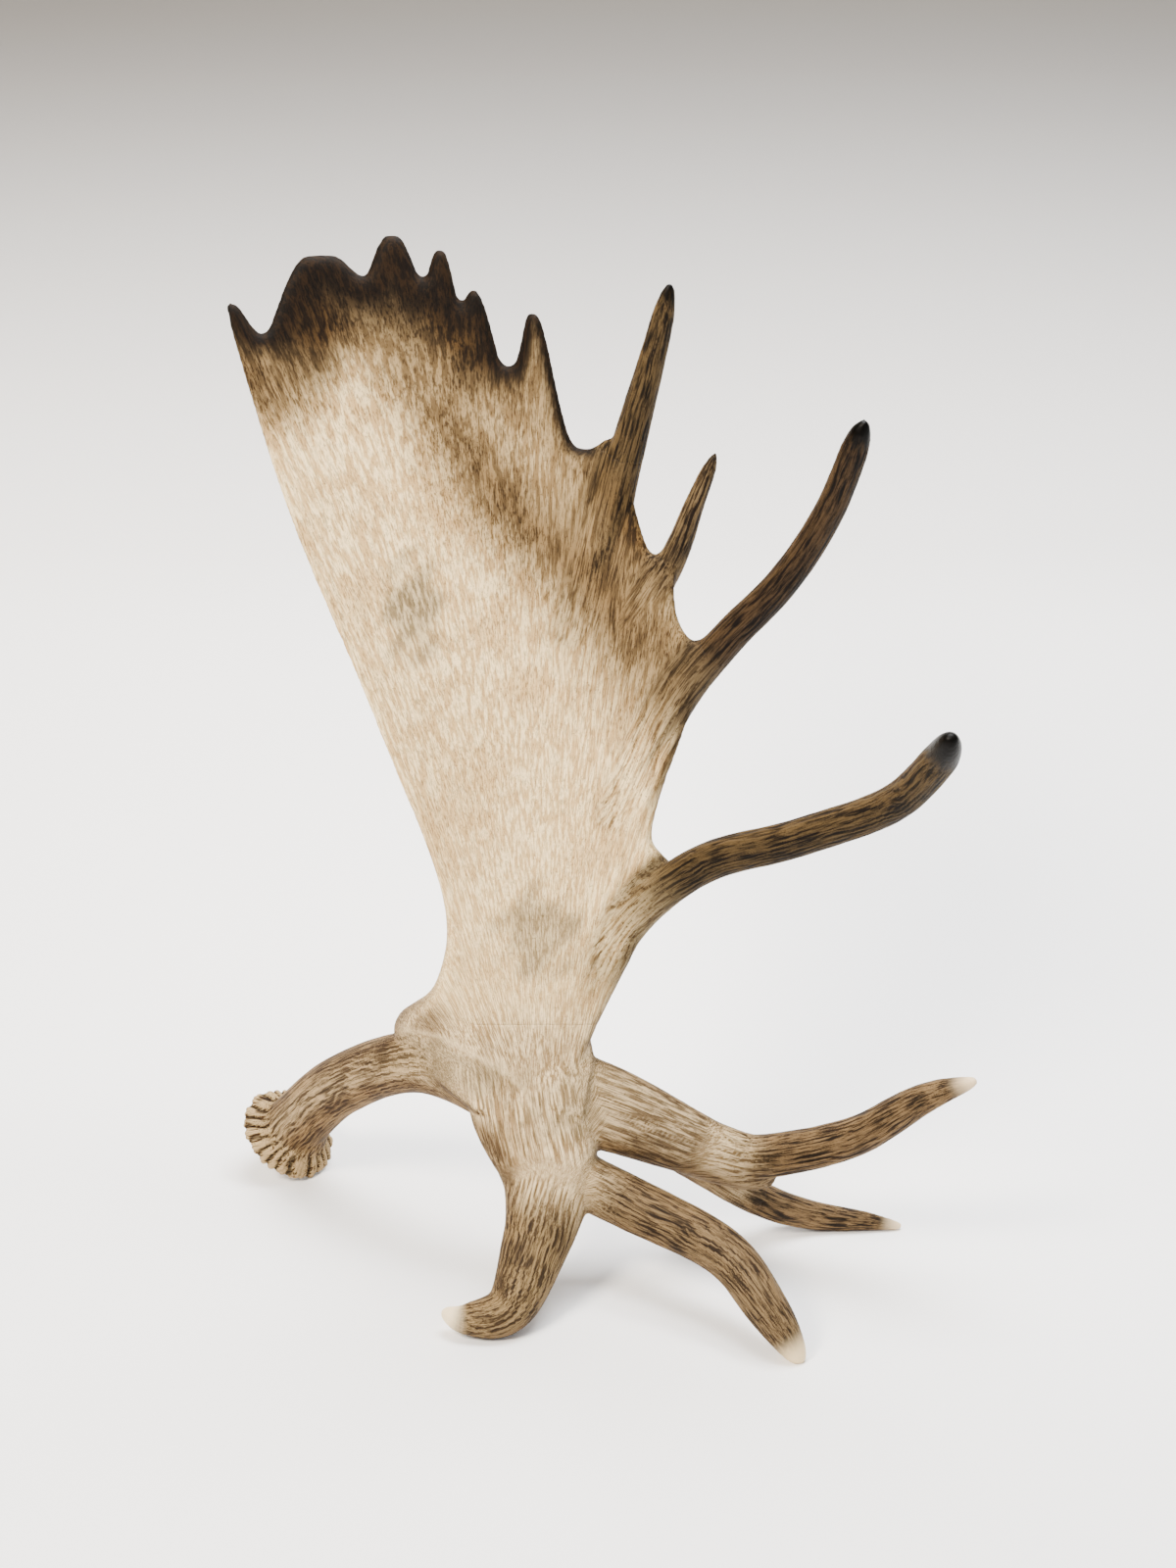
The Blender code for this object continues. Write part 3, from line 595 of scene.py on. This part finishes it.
minor = np.abs(np.cos(23.5 * (around - 0.2 * twist) + along_axis / 0.006)) ** 0.8
knots = 0.5 + 0.5 * waves(along_axis / 0.0021 + 7 * around, along_axis / 0.0034 - 11 * around)
knobs = np.clip(0.50 * cords + 0.26 * minor + 0.36 * knots * cords, 0.0, 1.0)
relief = relief * (1.0 - burr) - burr * CREVICE_DEPTH * (1.0 - knobs)
seal = ramp(-(normals @ axis), 0.75, 0.95) * (along_axis < 0.006) * (from_axis < SEAL_REACH)
pores = 0.0005 * waves(places[:, 0] / 0.0011, places[:, 2] / 0.0013, places[:, 1] / 0.0012)
relief = relief * (1.0 - seal) + seal * (pores - SEAL_DEPTH)

cut = places + normals * relief[:, None]
cut[:, 2] = np.maximum(cut[:, 2], 0.0)

# The antler is set over the frame: its lowest and highest corners lie on the frame's.
low = cut.min(axis=0)
high = cut.max(axis=0)
cut = np.array(cad_low) + (cut - low) / (high - low) * np.array(cad_high - cad_low)
bone.vertices.foreach_set("co", cut.ravel())
bone.update()


# ---------------------------------------------------------------- shades of the bone
# Antler weathers from cream on the sheltered palm to dark brown on the outer tines. Each limb has a
# shade for its ridges, its flats and its grooves, and the shades run into each other at the forks.
def srgb(code):
    """Linear colour from a hex code."""
    channels = [int(code[i:i + 2], 16) / 255 for i in (1, 3, 5)]
    return (*(c / 12.92 if c <= 0.04045 else ((c + 0.055) / 1.055) ** 2.4 for c in channels), 1.0)


# Each: ridges, flats, grooves, worn tip, amount of dark grain.
PALM_SHADES = ("#f6dca8", "#c8a672", "#4a3018", "#2a1c10", 0.60)
HUB_SHADES = ("#e4cb9e", "#8e7450", "#2e1f10", "#e4d0a8", 0.65)
AGED_SHADES = ("#684f2e", "#2e2010", "#0e0804", "#241810", 0.90)
TOP_SHADES = ("#1e1308", "#0e0804", "#030201", "#040201", 0.80)
# painted shade: the colours that undersides, the arch and the turned-away sides are darkened to
PAINTED_SHADE_COLOURS = ("#7a5f3c", "#2c1d0f", "#0c0704", "#3a2816", 0.90)
BURR_SHADES = ("#b0966c", "#3c2a18", "#120a05", "#4e3922", 0.70)
GREY_SHADES = ("#b09c78", "#7a6a4e", "#2e2416", "#2a1c10", 0.60)
SHADES = {
    "beam": ("#a08864", "#423422", "#1c140b", "#c4ae84", 0.80),
    "brow_body": HUB_SHADES,
    "stem": ("#b29c78", "#64523a", "#261c11", "#e0cca4", 0.70),
    "hook_tine": ("#806a48", "#34281a", "#181009", "#e8d4ac", 0.80),
    "front_tine": ("#705c40", "#241a10", "#140d07", "#dcc498", 0.85),
    "fork_tine_upper": ("#685338", "#1e160d", "#0c0804", "#d8c09a", 0.85),
    "fork_tine_lower": ("#6c563a", "#20180f", "#0c0804", "#e0c8a0", 0.85),
    "palm_tine_top": ("#504028", "#120c06", "#030201", "#040201", 0.80),
    "palm_tine_small": ("#655339", "#1c130a", "#040201", "#0a0603", 0.80),
    "palm_tine_middle": ("#3c2d1c", "#0a0503", "#020100", "#020100", 0.85),
    "palm_tine_low": ("#443620", "#0c0804", "#030201", "#030201", 0.85),
}
# Shares of a limb's length between which its own shade sets in; a tine's does so round its fork.
# The hub has the palm's own hub shade, so the shade of its loft sets in past the end: never.
NEVER = (2.0, 3.0)
SETS_IN = {"beam": (0.85, 0.50), "brow_body": NEVER, "stem": (0.05, 0.55)}
SETS_IN.update((name, (tine[6] - 0.30, tine[6] + 0.04)) for name, tine in TINES.items())
PALM_SETS_IN = (0.215, 0.275)   # heights between which the palm's shade takes over from the hub's
RIM_PART_FROM = 0.70            # height above which the palm's scalloped top is looked for

in_plate = ramp(places[:, 2], *PALM_SETS_IN)
outer = ramp(normals[:, 0] - 0.5 * normals[:, 1], 0.10, 0.60) * (places[:, 2] > 0.20)
tones = np.zeros((len(LIMBS), count))
for index, name in enumerate(limb_names):
    tones[index] = ramp(limb_share[index], *SETS_IN[name])
    if name.startswith("palm_tine"):
        tones[index] = np.maximum(tones[index], 0.85 * outer)
tones *= nearness / nearness.sum(axis=0)
tones[:len(TRUNK)] *= 1.0 - in_plate
tones *= ramp(best_gap, 0.016, 0.004)
limb_tone = tones.sum(axis=0)

# The scalloped top is chocolate brown down to some 50 mm, and the palm is aged to the upper right.
TOP_REACH = ((-0.28, -0.25, -0.21, -0.12, -0.04, 0.01),     # x, and how far down the brown reaches
             (0.034, 0.014, 0.048, 0.044, 0.010, 0.006))
top_rim = scalloped_top()
from_top = nearest_on_line(places[:, 0], places[:, 2], top_rim[:-1], top_rim[1:])[0]
reach = np.interp(places[:, 0], *TOP_REACH)
reach = reach * (1.0 + 0.25 * waves(fan_angle / 0.05, fan_angle / 0.021, fan_angle / 0.011))
top_tone = ramp(from_top / reach, 1.50, 0.30) * (places[:, 2] > RIM_PART_FROM)
across_palm = places[:, 0] + 0.75 * (places[:, 2] - 0.60)
aged_tone = ramp(places[:, 2], 0.40, 0.58) * ramp(across_palm, -0.095, 0.000)
aged_tone = np.maximum(aged_tone,
                       ramp(from_top, 0.100, 0.040) * (places[:, 2] > RIM_PART_FROM))
aged_tone *= 0.84 + 0.24 * waves(places[:, 0] / 0.021, places[:, 2] / 0.026,
                                 (places[:, 0] + places[:, 2]) / 0.017)

# Painted shade: undersides, the inside of the arch between beam and hook tine, and the sides are
# darker.
ARCH = ((-0.200, 0.105), (-0.140, 0.140), (-0.095, 0.138), (-0.078, 0.112), (-0.072, 0.080))
painted_shade = 0.90 * ramp(-normals[:, 2], 0.00, 0.45) * (1.0 - in_plate)
arch = smooth_curve(ARCH, 6)
from_arch = nearest_on_line(places[:, 0], places[:, 2], arch[:-1], arch[1:])[0]
painted_shade = np.maximum(painted_shade, 0.85 * ramp(from_arch, 0.024, 0.006) * (1.0 - in_plate))
turned_away = 0.75 * ramp(-normals[:, 1], 0.70, 0.20)
painted_shade = np.maximum(painted_shade, turned_away * (1.0 - 0.5 * in_plate) * (1.0 - top_tone))

# Grey stains where the bone has lain on the ground: x, z, half width, half height, strength.
STAINS = ((-0.040, 0.320, 0.034, 0.040, 0.8), (-0.140, 0.590, 0.022, 0.045, 0.9),
          (0.010, 0.170, 0.060, 0.030, 0.6), (-0.120, 0.190, 0.060, 0.022, 0.7))
stained = np.zeros(count)
for x, z, half_width, half_height, strength in STAINS:
    ring = np.hypot((places[:, 0] - x) / half_width, (places[:, 2] - z) / half_height)
    ring += 0.35 * waves(places[:, 0] / 0.006, places[:, 2] / 0.007,
                         (places[:, 0] - places[:, 2]) / 0.005)
    stained = np.maximum(stained, strength * ramp(ring, 1.3, 0.5))

shades = []
for tone in range(4):
    colour = np.array([srgb(PALM_SHADES[tone])] * count)
    hub = (1.0 - in_plate)[:, None]
    colour = colour * (1.0 - hub) + hub * np.array(srgb(HUB_SHADES[tone]))
    grey = stained[:, None]
    colour = colour * (1.0 - grey) + grey * np.array(srgb(GREY_SHADES[tone]))
    aged = np.clip(aged_tone, 0.0, 1.0)[:, None]
    colour = colour * (1.0 - aged) + aged * np.array(srgb(AGED_SHADES[tone]))
    top = top_tone[:, None]
    colour = colour * (1.0 - top) + top * np.array(srgb(TOP_SHADES[tone]))
    own = np.array([srgb(SHADES[name][tone]) for name in limb_names])
    colour = colour * (1.0 - limb_tone)[:, None] + tones.T @ own
    # painted shade darkens undersides, the arch and the sides: less on tines, not on polished tips
    shaded = (painted_shade * (1.0 - polish) * (1.0 - 0.6 * tones[len(TRUNK):].sum(axis=0)))[:, None]
    colour = colour * (1.0 - shaded) + shaded * np.array(srgb(PAINTED_SHADE_COLOURS[tone]))
    in_burr = burr[:, None]
    shades.append(colour * (1.0 - in_burr) + in_burr * np.array(srgb(BURR_SHADES[tone])))
own_grain = tones.T @ np.array([SHADES[name][4] for name in limb_names])
palm_grain = PALM_SHADES[4] + (AGED_SHADES[4] - PALM_SHADES[4]) * np.clip(aged_tone, 0.0, 1.0)
grain_amount = palm_grain * (1.0 - limb_tone) + own_grain

# What the finishes read: the two sets of growth lines, the shades, and masks from 0 to 1.
ridge_crest = 0.5 + ridged * (height - 0.52) * 1.5
ridge_crest = np.clip(ridge_crest + 120.0 * vein_relief, 0.0, 1.0)
crest = burr * np.clip(1.8 * knobs - 0.60, 0.0, 1.0) + (1.0 - burr) * ridge_crest
SHADE_LAYERS = ("ridge_shade", "flat_shade", "groove_shade", "tip_shade")
masks = {"limb": on_limb, "crest": crest, "polish": polish, "grain_amount": grain_amount}
for name, values in masks.items():
    bone.attributes.new(name, "FLOAT", "POINT").data.foreach_set("value", values.astype(np.float32))
for name, values in {"growth": growth, "fan": fan}.items():
    layer = bone.attributes.new(name, "FLOAT_VECTOR", "POINT")
    layer.data.foreach_set("vector", values.astype(np.float32).ravel())
for name, values in zip(SHADE_LAYERS, shades):
    layer = bone.attributes.new(name, "FLOAT_COLOR", "POINT")
    layer.data.foreach_set("color", values.astype(np.float32).ravel())


# ---------------------------------------------------------------- parting the limbs
# The bone is parted at its forks into one piece for each CAD node. Each piece is closed by a flat
# face inside the fork, so it is a solid of its own.
SLOTS = {"beam": "beam_bone", "main_palm": "palm_bone", "brow_palm": "brow_bone"}
bone.shade_smooth()
pieces = {}
whole = bmesh.new()
whole.from_mesh(bone)
for index, name in enumerate(NAMES):
    bm = whole.copy()
    others = [face for face in bm.faces if face.material_index != index]
    bmesh.ops.delete(bm, geom=others, context="FACES")
    rim_edges = [edge for edge in bm.edges if edge.is_boundary]
    caps = bmesh.ops.holes_fill(bm, edges=rim_edges, sides=0)["faces"]
    for face in caps:
        face.smooth = False
    for face in bm.faces:
        face.material_index = 0
    mesh = bpy.data.meshes.new(name)
    bm.to_mesh(mesh)
    bm.free()
    piece = bpy.data.objects.new("antler_" + name, mesh)
    bpy.context.scene.collection.objects.link(piece)
    kind = "palm_tine_bone" if name.startswith("palm_tine") else "brow_tine_bone"
    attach(piece, "root")
    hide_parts(name)
    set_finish(piece, SLOTS.get(name, kind))
    pieces[name] = piece
whole.free()
bpy.data.objects.remove(antler, do_unlink=True)


# ---------------------------------------------------------------- finishes
# Weathered antler bone, satin: pale ridges and brown grooves along the growth, short dark streaks
# of grain, soft stains, fine pits, and smooth polished points.
def add(tree, kind, **values):
    """Add a shader node; in_NAME or in_NUMBER sets or links an input, anything else a property."""
    node = tree.nodes.new("ShaderNode" + kind)
    for name, value in values.items():
        if not name.startswith("in_"):
            setattr(node, name, value)
    for name, value in values.items():
        if name.startswith("in_"):
            key = name[3:]
            socket = node.inputs[int(key) if key.isdigit() else key.replace("_", " ")]
            if isinstance(value, bpy.types.NodeSocket):
                tree.links.new(value, socket)
            else:
                socket.default_value = value
    return node


def mix(tree, factor, low, high):
    """Colour between two colours."""
    return add(tree, "Mix", data_type="RGBA", in_0=factor, in_6=low, in_7=high).outputs[2]


def span(tree, value, low, high):
    """Smooth step from 0 at low to 1 at high."""
    step = add(tree, "MapRange", interpolation_type="SMOOTHSTEP", in_0=value, in_1=low, in_2=high)
    return step.outputs[0]


def times(tree, one, other):
    """Product of two values."""
    return add(tree, "Math", operation="MULTIPLY", in_0=one, in_1=other).outputs[0]


def grain_noise(tree, on_limb, seed, **sizes):
    """Streaks along the growth lines: width and length in metres on limbs and on the palm's fan."""
    sides = []
    for kind, (width, length) in sizes.items():
        line = add(tree, "Attribute", attribute_name=kind).outputs["Vector"]
        scaled = add(tree, "VectorMath", operation="MULTIPLY_ADD", in_0=line,
                     in_1=(1 / width, 1 / width, 1 / length), in_2=(seed, seed, seed)).outputs[0]
        sides.append(add(tree, "TexNoise", in_Vector=scaled, in_Scale=1.0, in_Detail=3.0,
                         in_Roughness=0.62).outputs["Fac"])
    streaks = add(tree, "Mix", data_type="FLOAT", in_0=on_limb, in_2=sides[1], in_3=sides[0])
    return streaks.outputs[0]


def bone_finish(slot):
    """Antler bone of one material slot; its shades come with the mesh."""
    material = bpy.data.materials.new("antler_" + slot)
    material.use_nodes = True
    tree = material.node_tree
    shader = tree.nodes["Principled BSDF"]

    def read(name, output="Fac"):
        return add(tree, "Attribute", attribute_name=name).outputs[output]

    on_limb, crest, polish, amount = (read(name) for name in masks)
    ridge, flat, groove, tip = (read(name, "Color") for name in SHADE_LAYERS)
    fine = grain_noise(tree, on_limb, 3.0, growth=(0.0010, 0.018), fan=(0.0007, 0.008))
    cords = grain_noise(tree, on_limb, 9.0, growth=(0.0024, 0.050), fan=(0.0020, 0.028))
    place = add(tree, "TexCoord").outputs["Object"]
    clouds = add(tree, "TexNoise", in_Vector=place, in_Scale=22.0, in_Detail=6.0,
                 in_Roughness=0.66).outputs["Fac"]
    speckle = add(tree, "TexNoise", in_Vector=place, in_Scale=480.0, in_Detail=2.0,
                  in_Roughness=0.7).outputs["Fac"]

    # pale crests and cords, dark furrows between them
    colour = mix(tree, span(tree, cords, 0.43, 0.58), flat, ridge)
    colour = mix(tree, times(tree, span(tree, clouds, 0.48, 0.66), 0.65), colour, flat)
    colour = mix(tree, times(tree, span(tree, crest, 0.53, 0.80), 0.80), colour, ridge)
    colour = mix(tree, times(tree, span(tree, crest, 0.45, 0.12), 0.75), colour, groove)
    # streaks of grain, gathered in clouds
    gathered = add(tree, "MapRange", in_0=clouds, in_1=0.38, in_2=0.62, in_3=0.45, in_4=1.0)
    amount = times(tree, amount, gathered.outputs[0])
    strong = times(tree, span(tree, fine, 0.48, 0.60), amount)
    colour = mix(tree, strong, colour, groove)
    colour = mix(tree, times(tree, span(tree, speckle, 0.60, 0.70), 0.45), colour, groove)
    colour = mix(tree, polish, colour, tip)
    tree.links.new(colour, shader.inputs["Base Color"])
    rough = add(tree, "Mix", data_type="FLOAT", in_0=polish, in_2=0.66, in_3=0.32).outputs[0]
    tree.links.new(rough, shader.inputs["Roughness"])
    shader.inputs["Specular IOR Level"].default_value = 0.08
    bump = add(tree, "Bump", in_Strength=0.6, in_Distance=0.0005, in_Height=fine)
    tree.links.new(bump.outputs[0], shader.inputs["Normal"])
    return material


slots = sorted({piece["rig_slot"] for piece in pieces.values()})
finishes = {slot: bone_finish(slot) for slot in slots}
for piece in pieces.values():
    piece.data.materials.append(finishes[piece["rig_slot"]])


# ---------------------------------------------------------------- stage
# A plain pale sweep: a matt sheet that lies on the table and curves up behind the antler. Its
# colour darkens towards the top: painted shade, where less light would reach it.
SWEEP_HALF_WIDTH = 3.0
SWEEP_FRONT = -3.0
SWEEP_BEND_AT = 0.35        # y where the sheet starts to curve up
SWEEP_RADIUS = 0.45
SWEEP_TOP = 3.0
SWEEP_SHADES_OVER = (0.30, 1.10)    # heights between which the sheet falls off into shade
turns = np.linspace(0.0, np.pi / 2, 25)
profile = [(SWEEP_FRONT, 0.0)]
profile += [(SWEEP_BEND_AT + SWEEP_RADIUS * np.sin(turn), SWEEP_RADIUS * (1 - np.cos(turn)))
            for turn in turns]
profile.append((SWEEP_BEND_AT + SWEEP_RADIUS, SWEEP_TOP))
bm = bmesh.new()
left = [bm.verts.new((-SWEEP_HALF_WIDTH, y, z)) for y, z in profile]
edges = [bm.edges.new(pair) for pair in zip(left, left[1:])]
pulled = bmesh.ops.extrude_edge_only(bm, edges=edges)["geom"]
bmesh.ops.translate(bm, vec=(2 * SWEEP_HALF_WIDTH, 0.0, 0.0),
                    verts=[item for item in pulled if isinstance(item, bmesh.types.BMVert)])
bmesh.ops.recalc_face_normals(bm, faces=bm.faces[:])
mesh = bpy.data.meshes.new("sweep")
bm.to_mesh(mesh)
bm.free()
mesh.shade_smooth()
sweep = bpy.data.objects.new("sweep", mesh)
bpy.context.scene.collection.objects.link(sweep)
paper = bpy.data.materials.new("pale_matt_sheet")
paper.use_nodes = True
tree = paper.node_tree
paper_shader = tree.nodes["Principled BSDF"]
height_up = add(tree, "SeparateXYZ", in_0=add(tree, "TexCoord").outputs["Object"]).outputs[2]
# painted shade: the sheet's colour darkens from pale to grey going up
shade_up = mix(tree, span(tree, height_up, *SWEEP_SHADES_OVER), srgb("#fafafb"), srgb("#55524e"))
tree.links.new(shade_up, paper_shader.inputs["Base Color"])
paper_shader.inputs["Roughness"].default_value = 0.9
paper_shader.inputs["Specular IOR Level"].default_value = 0.2
mesh.materials.append(paper)


# ---------------------------------------------------------------- light and camera
# Soft daylight from the upper left and front, and a camera that looks down on the antler by 20
# degrees.
def area_light(name, place, aim, size, power, tint="#ffffff"):
    """A square soft box at a place, turned to its aim."""
    lamp = bpy.data.lights.new(name, "AREA")
    lamp.shape = "SQUARE"
    lamp.size = size
    lamp.energy = power
    lamp.color = srgb(tint)[:3]
    light = bpy.data.objects.new(name, lamp)
    light.location = place
    light.rotation_euler = (Vector(aim) - Vector(place)).to_track_quat("-Z", "Y").to_euler()
    bpy.context.scene.collection.objects.link(light)


area_light("key", (-1.5, -1.6, 2.3), (0.0, 0.0, 0.35), 0.8, 185.0, "#fff3e2")
area_light("fill", (2.2, -1.8, 1.2), (0.0, 0.0, 0.4), 2.0, 14.0, "#f4f7ff")
area_light("backdrop", (0.3, 0.30, 2.2), (0.3, 0.62, 0.0), 1.4, 160.0)
world = bpy.data.worlds.new("room")
world.use_nodes = True
room_light = world.node_tree.nodes["Background"]
room_light.inputs["Color"].default_value = srgb("#f2f3f6")
room_light.inputs["Strength"].default_value = 0.42
bpy.context.scene.world = world

LOOKS_DOWN = np.radians(20.0)
DISTANCE = 1.85
LENS = 53.0                 # focal length in millimetres
AIM_SHIFT = (0.001, -0.0155)    # x and y of the aim from the middle of the antler
AIM_HEIGHT = 0.46
centre = (cad_low + cad_high) / 2
aim = Vector((centre.x + AIM_SHIFT[0], centre.y + AIM_SHIFT[1], AIM_HEIGHT))
camera_data = bpy.data.cameras.new("camera")
camera_data.lens = LENS
camera = bpy.data.objects.new("camera", camera_data)
camera.location = aim + DISTANCE * Vector((0.0, -np.cos(LOOKS_DOWN), np.sin(LOOKS_DOWN)))
camera.rotation_euler = (np.pi / 2 - LOOKS_DOWN, 0.0, 0.0)
bpy.context.scene.collection.objects.link(camera)
bpy.context.scene.camera = camera
